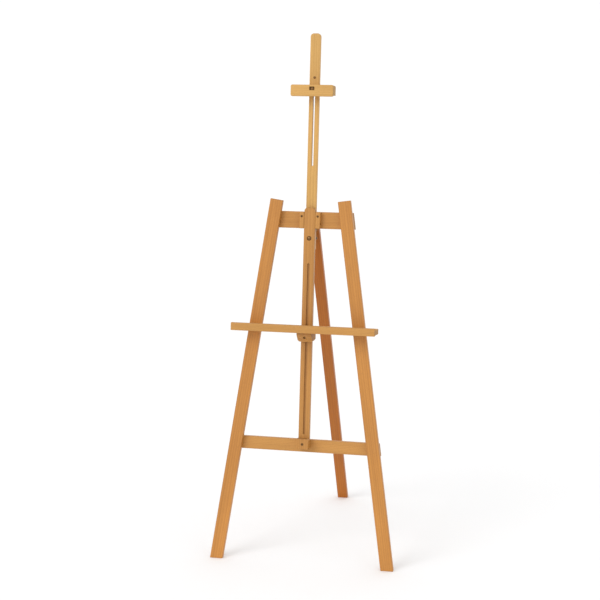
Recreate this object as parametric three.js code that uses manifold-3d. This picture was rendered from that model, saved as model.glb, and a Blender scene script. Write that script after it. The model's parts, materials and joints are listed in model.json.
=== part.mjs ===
// A wooden artist's easel: an A-frame of two splayed legs, a fixed lower mast with a sliding tray,
// a sliding mast extension with a top canvas clamp, and a folding rear leg.
//
// Millimetres, +Z up, the painter stands on the -Y side. The origin is on the floor, under the
// middle of the footprint. Most pieces are drawn in the leaning plane of the front frame:
// there x runs across, y runs backwards from the frame's front face, and z runs up the frame.

import * as THREE from 'three';
import { mergeVertices } from 'three/addons/utils/BufferGeometryUtils.js';
import Module from 'manifold-3d';

const wasm = await Module();
wasm.setup();

const { degToRad } = THREE.MathUtils;

// ---- driving dimensions -------------------------------------------------------------------

const GAP = 0.3; // between two pieces that touch
const SLIP = 0.4; // between two pieces that slide
const EASE = 1.5; // chamfer on the edges of the timber
const LEAN = degToRad(7); // the front frame, from upright
const SPLAY = degToRad(8.37); // a front leg, from the centre line
const STANCE = degToRad(25.66); // the rear leg, from upright
const FACETS = 12; // sides of a round fastener

const LEG = { width: 46, thick: 20, top: 1330, spread: 342 };
const REAR = { width: 40, thick: 20, heel: 32 };
const BRACE = { low: 412, high: 458, thick: 20 };
const RAIL = { low: 1225, high: 1285, thick: 32 };
const MAST = { width: 40, thick: 20, low: 427, top: 1300 };
const GROOVE = { width: 8, depth: 6, low: 480, high: 1100 };
const FOOT = { width: 45, height: 39, depth: 25 };
const CHEEK = { width: 18 };
const STEM = { width: 37, thick: 16, low: 1150, top: 1922, round: 12 };
const TRAY = { length: 525, depth: 80, low: 854, lip: 28, lipThick: 16, board: 20, raise: 2, trough: 6, troughAt: 18 };
const LIP_ROUND = 3;
const BRACKET = { width: 55, height: 38, reach: 46, nose: 18, round: 10, brow: 10 };
const KEEPER = { thick: 12.4, height: 28, round: 4, drop: 3, screwDrop: 17 };
const KEY = { drop: 20, half: 12, mouth: 5, seat: 26 };
const CLAMP = { width: 155, height: 41, low: 1696, front: 22, rear: 26.3, round: 7 };
const REBATE = { lip: 14, height: 5, flare: 0.3 };
const POCKET = { width: 19, height: 12.5, depth: 12, round: 2.5 }; // for the clamp's bolt head
const HINGE = { leaf: 1.8, height: 28, knuckle: 3.2, pin: 1.5, seat: 1245, side: 12.5, screwSide: 12, screwDrop: 17 };

const BOLT = { radius: 3, head: 8, dome: 3.5, tip: 0.6, hex: 10, hexHeight: 4 }; // M6
const BOLT_LENGTH = { lock: 48, clamp: 66 };
const WASHER = { thick: 1.5, lock: 9, clamp: 11 };
const PLATE = { width: 17.5, height: 11.5 }; // under the clamp's bolt head
const SLOT = 3.6; // half the width of a slot for that bolt
const STUD = { radius: 4, past: 16 }; // M8 clamping screw, and how far it stands out of the keeper
const KNOB = { radius: 17, lobe: 2.6, lobes: 5, hub: 9, thick: 12, edge: 2 };
const KNOB_HUB = { lock: 3, clamp: 5, tray: 7 };
const STOP = { above: 41, head: 4.6, rise: 2, shank: 2, length: 14 };
const LOCK_AT = 1190; // height of the extension's lock bolt
const LOCK_TRAVEL = 100; // how far the extension slides down
const CLAMP_TRAVEL = 270; // how far the top clamp slides down
const CLAMP_BOLT = CLAMP.low + 28;

// ---- worked-out places --------------------------------------------------------------------

const railBack = LEG.thick + GAP + RAIL.thick;
const stemFront = MAST.thick + GAP;
const stemBack = stemFront + STEM.thick;
const opening = STANCE + LEAN; // between the rear leg and the front frame
const pinDepth = railBack + HINGE.knuckle + GAP;
const pinRise = HINGE.seat * Math.cos(LEAN) - pinDepth * Math.sin(LEAN);
const pinBack = HINGE.seat * Math.sin(LEAN) + pinDepth * Math.cos(LEAN);
const rearFace = HINGE.knuckle + GAP;
const footprint = pinBack + rearSoleDepth(rearFace + REAR.thick);

// How far behind the hinge pin a line at depth y in the rear leg meets the floor.
function rearSoleDepth(y) {
  return y * Math.cos(STANCE) - rearSole(y) * Math.sin(STANCE);
}

// Where a line at depth y in the rear leg meets the floor, along the leg from the pin.
function rearSole(y) {
  return -(pinRise + y * Math.sin(STANCE)) / Math.cos(STANCE);
}

// Outer edge of a front leg at a height up the frame, and the leg's centre line.
function legEdge(z) {
  return LEG.spread - z * Math.tan(SPLAY);
}

function legCentre(z) {
  return legEdge(z) - LEG.width / 2 / Math.cos(SPLAY);
}

// ---- solids -------------------------------------------------------------------------------

function toBody(geometry) {
  const bare = geometry.clone();
  bare.deleteAttribute('normal');
  bare.deleteAttribute('uv');
  const merged = mergeVertices(bare, 1e-4);
  const corners = merged.index.array;
  const kept = [];
  for (let i = 0; i < corners.length; i += 3) {
    const [a, b, c] = corners.slice(i, i + 3);
    if (a !== b && b !== c && c !== a) kept.push(a, b, c);
  }
  const vertProperties = new Float32Array(merged.attributes.position.array);
  const triVerts = new Uint32Array(kept);
  return new wasm.Manifold(new wasm.Mesh({ numProp: 3, vertProperties, triVerts }));
}

function toGeometry(body) {
  const mesh = body.getMesh();
  const geometry = new THREE.BufferGeometry();
  geometry.setAttribute('position', new THREE.BufferAttribute(mesh.vertProperties, 3));
  geometry.setIndex(new THREE.BufferAttribute(mesh.triVerts, 1));
  geometry.computeVertexNormals();
  return geometry;
}

function cut(geometry, ...tools) {
  let body = toBody(geometry);
  for (const tool of tools) body = body.subtract(toBody(tool));
  return toGeometry(body);
}

function join(...geometries) {
  let body = toBody(geometries[0]);
  for (const other of geometries.slice(1)) body = body.add(toBody(other));
  return toGeometry(body);
}

function common(a, b) {
  return toGeometry(toBody(a).intersect(toBody(b)));
}

const PAST = 5; // how far a cutting tool runs past the face that it cuts

// A block between two corners.
function block(x0, y0, z0, x1, y1, z1) {
  const geometry = new THREE.BoxGeometry(x1 - x0, y1 - y0, z1 - z0);
  geometry.translate((x0 + x1) / 2, (y0 + y1) / 2, (z0 + z1) / 2);
  return geometry;
}

function extrude(shape, length, ease) {
  const bevel = {
    bevelEnabled: ease > 0,
    bevelThickness: ease,
    bevelSize: ease,
    bevelOffset: -ease,
    bevelSegments: 1,
  };
  return new THREE.ExtrudeGeometry(shape, { depth: length - 2 * ease, curveSegments: 6, ...bevel });
}

// An outline across the frame, in x and z, given its thickness backwards from a front depth.
function board(shape, front, thick, ease = EASE) {
  const geometry = extrude(shape, thick, ease);
  geometry.rotateX(Math.PI / 2);
  geometry.translate(0, front + thick - ease, 0);
  return geometry;
}

// An outline seen from the side, in y and z, given its width across the frame.
function moulding(shape, width, ease = EASE) {
  const geometry = extrude(shape, width, ease);
  geometry.translate(0, 0, ease - width / 2);
  const turn = new THREE.Matrix4().makeBasis(
    new THREE.Vector3(0, 1, 0),
    new THREE.Vector3(0, 0, 1),
    new THREE.Vector3(1, 0, 0),
  );
  geometry.applyMatrix4(turn);
  return geometry;
}

function outline(points) {
  return new THREE.Shape(points.map(([x, y]) => new THREE.Vector2(x, y)));
}

// A rectangle with one radius at its lower corners and another at its upper ones.
function roundedPanel(width, low, high, lower, upper) {
  const half = width / 2;
  const shape = new THREE.Shape();
  shape.moveTo(-half + lower, low);
  shape.lineTo(half - lower, low);
  if (lower > 0) shape.absarc(half - lower, low + lower, lower, -Math.PI / 2, 0);
  shape.lineTo(half, high - upper);
  if (upper > 0) shape.absarc(half - upper, high - upper, upper, 0, Math.PI / 2);
  shape.lineTo(-half + upper, high);
  if (upper > 0) shape.absarc(-half + upper, high - upper, upper, Math.PI / 2, Math.PI);
  shape.lineTo(-half, low + lower);
  if (lower > 0) shape.absarc(-half + lower, low + lower, lower, Math.PI, 1.5 * Math.PI);
  return shape;
}

// A long hole with round ends, between two centres up the frame.
function longHole(radius, low, high) {
  const path = new THREE.Path();
  path.absarc(0, low, radius, Math.PI, 2 * Math.PI);
  path.absarc(0, high, radius, 0, Math.PI);
  path.closePath();
  return path;
}

// A rod along y, from one depth to another.
function rod(radius, from, to, x = 0, z = 0) {
  const geometry = new THREE.CylinderGeometry(radius, radius, to - from, FACETS);
  geometry.translate(x, (from + to) / 2, z);
  return geometry;
}

// A profile of radius and distance, turned about y. It starts and ends on the axis.
function turned(profile) {
  return new THREE.LatheGeometry(profile.map(([r, y]) => new THREE.Vector2(r, y)), FACETS);
}

// ---- fasteners: head face at y = 0, body along +y -------------------------------------------

function screwProfile(head, shank, length, grow) {
  const sink = head - shank;
  return [
    [0, 0],
    [head + grow, 0],
    [head + grow, 0.3 + grow],
    [shank + grow, sink + 0.3 + grow],
    [shank + grow, length - 2 * shank + grow],
    [0, length + grow],
  ];
}

function screw(head, shank, length) {
  return turned(screwProfile(head, shank, length, 0));
}

// The hole that a screw sits in, open a little above its head.
function screwHole(head, shank, length) {
  const profile = screwProfile(head, shank, length, GAP);
  return turned([[0, -2], [head + GAP, -2], ...profile.slice(1)]);
}

// A coach bolt: low domed head, then the shank.
function coachBolt(length) {
  const { radius, head, dome, tip } = BOLT;
  const profile = [[0, 0], [head * 0.62, dome * 0.18], [head * 0.9, dome * 0.55], [head, dome]];
  profile.push([radius, dome], [radius, length - tip], [radius - tip, length], [0, length]);
  return turned(profile);
}

// A hexagon-headed bolt.
function hexBolt(length) {
  const corner = BOLT.hex / Math.sqrt(3);
  const head = new THREE.CylinderGeometry(corner, corner, BOLT.hexHeight, 6);
  head.translate(0, BOLT.hexHeight / 2, 0);
  return join(head, rod(BOLT.radius, BOLT.hexHeight / 2, length));
}

const boltHole = () => rod(BOLT.radius + GAP, -1, WASHER.thick + 1);

function washer(radius) {
  return cut(rod(radius, 0, WASHER.thick), boltHole());
}

// A small rectangular plate that spreads the load of the clamp's bolt head in its pocket.
function plateWasher() {
  const { width, height } = PLATE;
  const round = POCKET.round - GAP;
  const shape = roundedPanel(width, -height / 2, height / 2, round, round);
  return cut(board(shape, 0, WASHER.thick, 0), boltHole());
}

// A five-lobed hand knob on a round hub, bored from the hub's side.
function handKnob(hubLength, bore, boreDepth) {
  const star = new THREE.Shape();
  const steps = KNOB.lobes * 8;
  for (let i = 0; i < steps; i++) {
    const angle = (i / steps) * 2 * Math.PI;
    const radius = KNOB.radius + KNOB.lobe * Math.cos(KNOB.lobes * angle);
    const at = [radius * Math.cos(angle), radius * Math.sin(angle)];
    if (i === 0) star.moveTo(...at);
    else star.lineTo(...at);
  }
  star.closePath();
  const grip = board(star, hubLength, KNOB.thick, KNOB.edge);
  const hub = rod(KNOB.hub, 0, hubLength + KNOB.thick / 2);
  return cut(join(grip, hub), rod(bore, -1, boreDepth));
}

// ---- finishes -------------------------------------------------------------------------------

const FINISH = {
  beech: { color: 0xcf9a5c, roughness: 0.5, metalness: 0 },
  paleBeech: { color: 0xdcae72, roughness: 0.5, metalness: 0 },
  steel: { color: 0xb9b4a6, roughness: 0.35, metalness: 0.9 },
  brass: { color: 0xb8935a, roughness: 0.35, metalness: 0.85 },
  plastic: { color: 0x1d1d1f, roughness: 0.45, metalness: 0 },
};

function add(group, name, geometry, finish, place = [0, 0, 0]) {
  const mesh = new THREE.Mesh(geometry, new THREE.MeshStandardMaterial(FINISH[finish]));
  mesh.name = name;
  mesh.position.set(...place);
  group.add(mesh);
  return mesh;
}

// Turns a fastener round, so that it goes in from behind.
function fromBehind(mesh) {
  mesh.rotation.x = Math.PI;
  return mesh;
}

function moved(geometry, x, y, z, behind = false) {
  if (behind) geometry.rotateX(Math.PI);
  geometry.translate(x, y, z);
  return geometry;
}

// ---- where the fasteners of the front frame go -----------------------------------------------

const PLANK_SCREW = { head: 4.2, shank: 2, length: 34 };
const RAIL_SCREW = { head: 4.2, shank: 2, length: 45 };
const FOOT_SCREW = { head: 4.6, shank: 2.2, length: 56 };
const CHEEK_SCREW = { head: 4.2, shank: 2, length: 44 };
const LEAF_SCREW = { head: 2.8, shank: 1.3, length: 14 };
const TRAY_SCREW = { head: 4.2, shank: 2, length: 36 };
const KEEPER_SCREW = { head: 2.8, shank: 1.3, length: 28 };
const KEY_SCREW = { head: 3.6, shank: 1.6, length: 31 };
const DOWEL = 4;
const LIP_DOWEL = 3;

const braceBack = LEG.thick + GAP + BRACE.thick;
const braceScrews = pairsOnLegs([BRACE.low + 12, BRACE.high - 12]);
const railScrews = pairsOnLegs([RAIL.low + 14, RAIL.high - 14]);
const cheekCentre = MAST.width / 2 + GAP + CHEEK.width / 2;
const cheekScrewAt = RAIL.high - 16;
const dowelAt = RAIL.low + 18;

function pairsOnLegs(heights) {
  const places = [];
  for (const side of [-1, 1]) {
    for (const z of heights) places.push([side * legCentre(z), z]);
  }
  return places;
}

function holesFor(screwKind, places, face, behind) {
  const { head, shank, length } = screwKind;
  return places.map(([x, z]) => moved(screwHole(head, shank, length), x, face, z, behind));
}

function screwOf({ head, shank, length }) {
  return screw(head, shank, length);
}

// ---- front frame ------------------------------------------------------------------------------

function frontLeg(side) {
  const across = LEG.width / Math.cos(SPLAY);
  const crown = [legEdge(LEG.top), LEG.top];
  const shoulder = [crown[0] - LEG.width * Math.cos(SPLAY), crown[1] - LEG.width * Math.sin(SPLAY)];
  const corners = [[legEdge(0), 0], crown, shoulder, [legEdge(0) - across, 0]];
  const geometry = board(outline(corners.map(([x, z]) => [side * x, z])), 0, LEG.thick);
  layFlat(geometry, side);
  const mine = ([x]) => x * side > 0;
  return cut(
    geometry,
    ...holesFor(PLANK_SCREW, braceScrews.filter(mine), braceBack, true),
    ...holesFor(RAIL_SCREW, railScrews.filter(mine), railBack, true),
  );
}

// Shears the foot, so that its sole lies flat on the floor although the leg leans back.
function layFlat(geometry, side) {
  const points = geometry.attributes.position;
  for (let i = 0; i < points.count; i++) {
    if (points.getZ(i) > 2 * EASE) continue;
    const rise = points.getY(i) * Math.tan(LEAN);
    points.setZ(i, points.getZ(i) + rise);
    points.setX(i, points.getX(i) - side * rise * Math.tan(SPLAY));
  }
}

// A plank across the backs of the legs, its ends sawn along their outer edges.
function crossPlank({ low, high, thick }) {
  const end = (z) => legEdge(z) - 1;
  const corners = [[-end(low), low], [end(low), low], [end(high), high], [-end(high), high]];
  return board(outline(corners), LEG.thick + GAP, thick);
}

function crossBrace() {
  const footHole = holesFor(FOOT_SCREW, [[0, MAST.low + FOOT.height / 2]], -FOOT.depth - GAP, false);
  return cut(crossPlank(BRACE), ...holesFor(PLANK_SCREW, braceScrews, braceBack, true), ...footHole);
}

// The head rail is notched in front, where the mast extension slides.
function headRail() {
  const half = STEM.width / 2 + SLIP;
  const notch = block(-half, LEG.thick, RAIL.low - PAST, half, stemBack + SLIP, RAIL.high + PAST);
  const cheekPlaces = [-1, 1].map((side) => [side * cheekCentre, cheekScrewAt]);
  return cut(
    crossPlank(RAIL),
    notch,
    ...holesFor(RAIL_SCREW, railScrews, railBack, true),
    ...holesFor(CHEEK_SCREW, cheekPlaces, 0, false),
    ...leafHoles().map((hole) => moved(hole, 0, pinDepth, HINGE.seat)),
  );
}

function lowerMast() {
  const shape = roundedPanel(MAST.width, MAST.low, MAST.top, 0, STEM.round);
  const groove = longHoleBody(GROOVE.width / 2, GROOVE.low, GROOVE.high, -PAST, GROOVE.depth);
  const dowelHole = new THREE.CylinderGeometry(DOWEL + GAP, DOWEL + GAP, 2 * MAST.width, FACETS);
  dowelHole.rotateZ(Math.PI / 2);
  dowelHole.translate(0, MAST.thick / 2, dowelAt);
  return cut(
    board(shape, 0, MAST.thick),
    groove,
    dowelHole,
    rod(BOLT.head + GAP, -PAST, BOLT.dome + GAP, 0, LOCK_AT),
    rod(BOLT.radius + GAP, -PAST, MAST.thick + PAST, 0, LOCK_AT),
    ...holesFor(FOOT_SCREW, [[0, MAST.low + FOOT.height / 2]], -FOOT.depth - GAP, false),
  );
}

function longHoleBody(radius, low, high, from, to) {
  const shape = new THREE.Shape(longHole(radius, low + radius, high - radius).getPoints(8));
  return board(shape, from, to - from, 0);
}

function footBlock() {
  const shape = roundedPanel(FOOT.width, MAST.low, MAST.low + FOOT.height, 0, 0);
  const places = [[0, MAST.low + FOOT.height / 2]];
  const front = -FOOT.depth - GAP;
  return cut(board(shape, front, FOOT.depth), ...holesFor(FOOT_SCREW, places, front, false));
}

function mastCheek(side) {
  const inner = MAST.width / 2 + GAP;
  const xs = [side * inner, side * (inner + CHEEK.width)].sort((a, b) => a - b);
  const corners = [[xs[0], RAIL.low], [xs[1], RAIL.low], [xs[1], RAIL.high], [xs[0], RAIL.high]];
  const dowelHole = new THREE.CylinderGeometry(DOWEL + GAP, DOWEL + GAP, 4 * MAST.width, FACETS);
  dowelHole.rotateZ(Math.PI / 2);
  dowelHole.translate(0, MAST.thick / 2, dowelAt);
  const screwHoles = holesFor(CHEEK_SCREW, [[side * cheekCentre, cheekScrewAt]], 0, false);
  return cut(board(outline(corners), 0, MAST.thick), dowelHole, ...screwHoles);
}

function crossDowel() {
  const length = MAST.width + 2 * (GAP + CHEEK.width);
  const geometry = new THREE.CylinderGeometry(DOWEL, DOWEL, length, FACETS);
  geometry.rotateZ(Math.PI / 2);
  return geometry;
}

// ---- rear leg and its hinge, drawn from the hinge pin -----------------------------------------

// One leaf: a plate hanging below the pin, on the side that its sign gives, with its knuckles.
function hingeLeaf(side, knuckles) {
  const { leaf, height, knuckle, pin } = HINGE;
  const half = REAR.width / 2;
  const outer = side * knuckle;
  const inner = side * (knuckle - leaf);
  const near = Math.min(outer, inner);
  const far = Math.max(outer, inner);
  const parts = [block(-half, near, -height, half, far, -knuckle - GAP)];
  for (const [from, to] of knuckles) {
    const barrel = new THREE.CylinderGeometry(knuckle, knuckle, to - from, FACETS);
    barrel.rotateZ(Math.PI / 2);
    barrel.translate((from + to) / 2, 0, 0);
    parts.push(barrel, block(from, near, -knuckle - 1, to, far, 0));
  }
  const bore = new THREE.CylinderGeometry(pin + GAP, pin + GAP, 2 * REAR.width, FACETS);
  bore.rotateZ(Math.PI / 2);
  return cut(join(...parts), bore, ...leafHoles(side));
}

const leafScrewPlaces = [-1, 1].map((side) => [side * HINGE.screwSide, -HINGE.screwDrop]);

// Holes for the screws of one leaf; -1 is the rail's leaf and +1 is the leg's.
function leafHoles(side = -1) {
  const face = side * (HINGE.knuckle - HINGE.leaf);
  return holesFor(LEAF_SCREW, leafScrewPlaces, face, side < 0);
}

function hingePin() {
  const geometry = new THREE.CylinderGeometry(HINGE.pin, HINGE.pin, REAR.width + 2, FACETS);
  geometry.rotateZ(Math.PI / 2);
  return geometry;
}

// The top of the rear leg is sawn to a heel, which bears on the head rail when the leg is open.
function rearLeg() {
  const back = rearFace + REAR.thick;
  const heelAt = (y) => (y * Math.cos(opening) + HINGE.knuckle) / Math.sin(opening);
  const tip = (REAR.heel * Math.sin(opening) - HINGE.knuckle) / Math.cos(opening);
  const corners = [[rearFace, rearSole(rearFace)], [back, rearSole(back)], [back, REAR.heel]];
  corners.push([tip, REAR.heel], [rearFace, heelAt(rearFace)]);
  return cut(moulding(outline(corners), REAR.width), ...leafHoles(1));
}

// ---- mast extension, top clamp and tray ---------------------------------------------------------

const stopAt = CLAMP_BOLT + STOP.above;

function mastExtension() {
  const shape = roundedPanel(STEM.width, STEM.low, STEM.top, 0, STEM.round);
  shape.holes.push(longHole(SLOT, LOCK_AT, LOCK_AT + LOCK_TRAVEL));
  shape.holes.push(longHole(SLOT, CLAMP_BOLT - CLAMP_TRAVEL, CLAMP_BOLT));
  const stopShank = STOP.shank + GAP;
  const stopHole = moved(screwHole(stopShank, stopShank, STOP.length), 0, stemFront, stopAt);
  return cut(board(shape, stemFront, STEM.thick), stopHole);
}

// A round-headed screw that stands proud of the wood.
function stopScrew() {
  const { head, rise, shank, length } = STOP;
  const dome = [[0, -rise], [0.72 * head, -0.78 * rise], [head, -0.22 * rise], [head, 0]];
  return turned([...dome, [shank, 0], [shank, 0.75 * length], [0, length]]);
}

function clampBlock() {
  const { width, height, low, front, rear, round } = CLAMP;
  const shape = roundedPanel(width, low, low + height, round, round);
  const channel = STEM.width / 2 + SLIP;
  return cut(
    board(shape, -front, front + rear, 2),
    block(-channel, stemFront - GAP, low - PAST, channel, rear + PAST, low + height + PAST),
    clampRebate(),
    clampPocket(),
    rod(BOLT.radius + GAP, -front, rear, 0, CLAMP_BOLT),
  );
}

// The rebate that takes the upper edge of a canvas. Its lip leans forward a little towards its mouth.
function clampRebate() {
  const { width, low, front, rear } = CLAMP;
  const lip = REBATE.lip - front;
  const roof = low + REBATE.height;
  const flare = REBATE.flare * (1 + PAST / REBATE.height);
  const side = outline([
    [lip - flare, low - PAST],
    [rear + PAST, low - PAST],
    [rear + PAST, roof],
    [lip, roof],
  ]);
  return moulding(side, 2 * width, 0);
}

function clampPocket() {
  const { width, height, depth, round } = POCKET;
  const half = height / 2;
  const shape = roundedPanel(width, CLAMP_BOLT - half, CLAMP_BOLT + half, round, round);
  return board(shape, -CLAMP.front - PAST, depth + PAST, 0);
}

// The shelf, with a shallow trough for brushes along it.
function trayBoard() {
  const back = -1;
  const front = lipSeam + GAP;
  const low = TRAY.low + TRAY.raise;
  const high = shelfTop;
  const trough = front + TRAY.troughAt;
  const shape = new THREE.Shape();
  shape.moveTo(front, low);
  shape.lineTo(back, low);
  shape.lineTo(back, high);
  shape.lineTo(trough + TRAY.trough, high);
  shape.absarc(trough, high, TRAY.trough, 0, Math.PI, true);
  shape.lineTo(front, high);
  shape.closePath();
  return cut(
    moulding(shape, TRAY.length),
    ...lipDowelHoles(),
    ...trayScrewPlaces.map((x) => trayScrewHole(x)),
  );
}

const trayScrewPlaces = [-15, 15];
const trayScrewDepth = -20;
const lipDowelPlaces = [-200, 0, 200];
const lipSeam = -TRAY.depth + TRAY.lipThick;
const lipDowelEnds = [lipSeam - 8, lipSeam + 10];
const lipDowelRise = TRAY.low + TRAY.raise + 7;
const shelfTop = TRAY.low + TRAY.raise + TRAY.board;

function trayScrewHole(x) {
  const { head, shank, length } = TRAY_SCREW;
  const hole = screwHole(head, shank, length);
  hole.rotateX(-Math.PI / 2);
  hole.translate(x, trayScrewDepth, shelfTop);
  return hole;
}

function lipDowelHoles() {
  const [from, to] = lipDowelEnds;
  return lipDowelPlaces.map((x) => rod(LIP_DOWEL + GAP, from - GAP, to + GAP, x, lipDowelRise));
}

function trayLip() {
  const front = -TRAY.depth;
  const back = front + TRAY.lipThick;
  const high = TRAY.low + TRAY.lip;
  const soft = LIP_ROUND;
  const shape = new THREE.Shape();
  shape.moveTo(front, TRAY.low);
  shape.lineTo(back, TRAY.low);
  shape.lineTo(back, high - soft);
  shape.absarc(back - soft, high - soft, soft, 0, Math.PI / 2);
  shape.absarc(front + soft, high - soft, soft, Math.PI / 2, Math.PI);
  shape.closePath();
  return cut(moulding(shape, TRAY.length), ...lipDowelHoles());
}

// The bracket under the tray: a corbel in front of the mast, and two cheeks beside it.
function trayBracket() {
  const top = TRAY.low + TRAY.raise - GAP;
  const low = top - BRACKET.height;
  const back = MAST.thick + GAP;
  const side = outline([
    [-BRACKET.nose, low],
    [back, low],
    [back, top],
    [-BRACKET.reach, top],
    [-BRACKET.reach, top - BRACKET.brow],
  ]);
  const face = roundedPanel(BRACKET.width, low, top, BRACKET.round, 0);
  const body = common(moulding(side, BRACKET.width), board(face, -TRAY.depth, 2 * TRAY.depth, 0));
  const half = MAST.width / 2 + SLIP;
  return cut(
    body,
    block(-half, -SLIP, low - PAST, half, back + PAST, top + PAST),
    ...trayScrewPlaces.map((x) => trayScrewHole(x)),
    ...holesFor(KEEPER_SCREW, keeperPlaces(), back + GAP + KEEPER.thick, true),
    rod(KEY.mouth, -BRACKET.reach - PAST, keyScrewFace, 0, keyAt),
    ...holesFor(KEY_SCREW, [[0, keyAt]], keyScrewFace, false),
  );
}

const keyAt = TRAY.low - KEY.drop;
const keyScrewFace = -KEY.seat;

const keeperBack = MAST.thick + 2 * GAP + KEEPER.thick;
const studEnd = keeperBack + STUD.past;

// One screw in the middle of each of the bracket's two cheeks.
function keeperPlaces() {
  const x = (MAST.width / 2 + SLIP + BRACKET.width / 2) / 2;
  const z = TRAY.low - KEEPER.screwDrop;
  return [[-x, z], [x, z]];
}

// The keeper closes the bracket behind the mast and carries the clamping screw.
function trayKeeper() {
  const front = MAST.thick + 2 * GAP;
  const top = TRAY.low - KEEPER.drop;
  const { height, round } = KEEPER;
  const shape = roundedPanel(BRACKET.width, top - height, top, round, round);
  return cut(
    board(shape, front, KEEPER.thick),
    rod(STUD.radius + GAP, front - PAST, front + KEEPER.thick + PAST, 0, keyAt),
    ...holesFor(KEEPER_SCREW, keeperPlaces(), front + KEEPER.thick, true),
  );
}

// A strip that runs in the mast's groove and keeps the tray straight.
function trayKey() {
  const half = GROOVE.width / 2 - SLIP;
  const bar = block(-half, GAP - SLIP, keyAt - KEY.half, half, GROOVE.depth - SLIP, keyAt + KEY.half);
  return cut(bar, ...holesFor(KEY_SCREW, [[0, keyAt]], keyScrewFace, false));
}

function clampingScrew() {
  const from = MAST.thick + GAP;
  const { radius } = STUD;
  return turned([[0, from], [radius - 1, from], [radius, from + 1], [radius, studEnd], [0, studEnd]]);
}

// ---- assembly ---------------------------------------------------------------------------------------

const easel = new THREE.Group();
const front = new THREE.Group();
front.position.y = -footprint / 2;
front.rotation.x = -LEAN;
easel.add(front);

function addScrews(group, name, kind, places, face, behind, finish = 'steel') {
  places.forEach(([x, z], i) => {
    const mesh = add(group, `${name}_${i + 1}`, screwOf(kind), finish, [x, face, z]);
    if (behind) fromBehind(mesh);
  });
}

function addFrame() {
  add(front, 'front_leg_left', frontLeg(-1), 'beech');
  add(front, 'front_leg_right', frontLeg(1), 'beech');
  add(front, 'cross_brace', crossBrace(), 'paleBeech');
  add(front, 'head_rail', headRail(), 'beech');
  add(front, 'lower_mast', lowerMast(), 'beech');
  add(front, 'mast_foot_block', footBlock(), 'paleBeech');
  add(front, 'mast_cheek_left', mastCheek(-1), 'beech');
  add(front, 'mast_cheek_right', mastCheek(1), 'beech');
  add(front, 'mast_cross_dowel', crossDowel(), 'paleBeech', [0, MAST.thick / 2, dowelAt]);
  addScrews(front, 'brace_screw', PLANK_SCREW, braceScrews, braceBack, true);
  addScrews(front, 'head_screw', RAIL_SCREW, railScrews, railBack, true);
  const cheekPlaces = [-1, 1].map((side) => [side * cheekCentre, cheekScrewAt]);
  addScrews(front, 'cheek_screw', CHEEK_SCREW, cheekPlaces, 0, false);
  const footFace = [0, -FOOT.depth - GAP, MAST.low + FOOT.height / 2];
  add(front, 'foot_block_screw', screwOf(FOOT_SCREW), 'steel', footFace);
}

function addRearLeg() {
  const hinge = new THREE.Group();
  hinge.position.set(0, pinDepth, HINGE.seat);
  front.add(hinge);
  const half = REAR.width / 2;
  const inner = half - HINGE.side;
  const outerKnuckles = [[-half, -inner], [inner, half]];
  add(hinge, 'hinge_leaf_rail', hingeLeaf(-1, outerKnuckles), 'brass');
  add(hinge, 'hinge_pin', hingePin(), 'brass');
  const railFace = -(HINGE.knuckle - HINGE.leaf);
  addScrews(hinge, 'hinge_rail_screw', LEAF_SCREW, leafScrewPlaces, railFace, true, 'brass');
  const leg = new THREE.Group();
  leg.rotation.x = opening;
  hinge.add(leg);
  add(leg, 'rear_leg', rearLeg(), 'beech');
  add(leg, 'hinge_leaf_leg', hingeLeaf(1, [[-inner + GAP, inner - GAP]]), 'brass');
  addScrews(leg, 'hinge_leg_screw', LEAF_SCREW, leafScrewPlaces, -railFace, false, 'brass');
}

function addExtension() {
  add(front, 'mast_extension', mastExtension(), 'paleBeech');
  add(front, 'extension_stop_screw', stopScrew(), 'steel', [0, stemFront - GAP, stopAt]);
  add(front, 'lock_bolt', coachBolt(BOLT_LENGTH.lock), 'steel', [0, 0, LOCK_AT]);
  add(front, 'lock_washer', washer(WASHER.lock), 'steel', [0, washerAt, LOCK_AT]);
  addBoltKnob('lock_knob', KNOB_HUB.lock, BOLT_LENGTH.lock, LOCK_AT);
}

const washerAt = stemBack + GAP;

// A knob behind the mast extension, bored a little deeper than its bolt reaches.
function addBoltKnob(name, hub, boltEnd, height) {
  const face = washerAt + WASHER.thick + GAP;
  const bore = boltEnd - face + 2 * GAP;
  add(front, name, handKnob(hub, BOLT.radius + GAP, bore), 'plastic', [0, face, height]);
}

function addClamp() {
  const plateAt = -CLAMP.front + POCKET.depth - GAP - WASHER.thick;
  const headAt = plateAt - GAP - BOLT.hexHeight;
  add(front, 'clamp_block', clampBlock(), 'paleBeech');
  add(front, 'clamp_front_washer', plateWasher(), 'steel', [0, plateAt, CLAMP_BOLT]);
  add(front, 'clamp_bolt', hexBolt(BOLT_LENGTH.clamp), 'steel', [0, headAt, CLAMP_BOLT]);
  add(front, 'clamp_rear_washer', washer(WASHER.clamp), 'steel', [0, washerAt, CLAMP_BOLT]);
  addBoltKnob('clamp_knob', KNOB_HUB.clamp, headAt + BOLT_LENGTH.clamp, CLAMP_BOLT);
}

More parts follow.
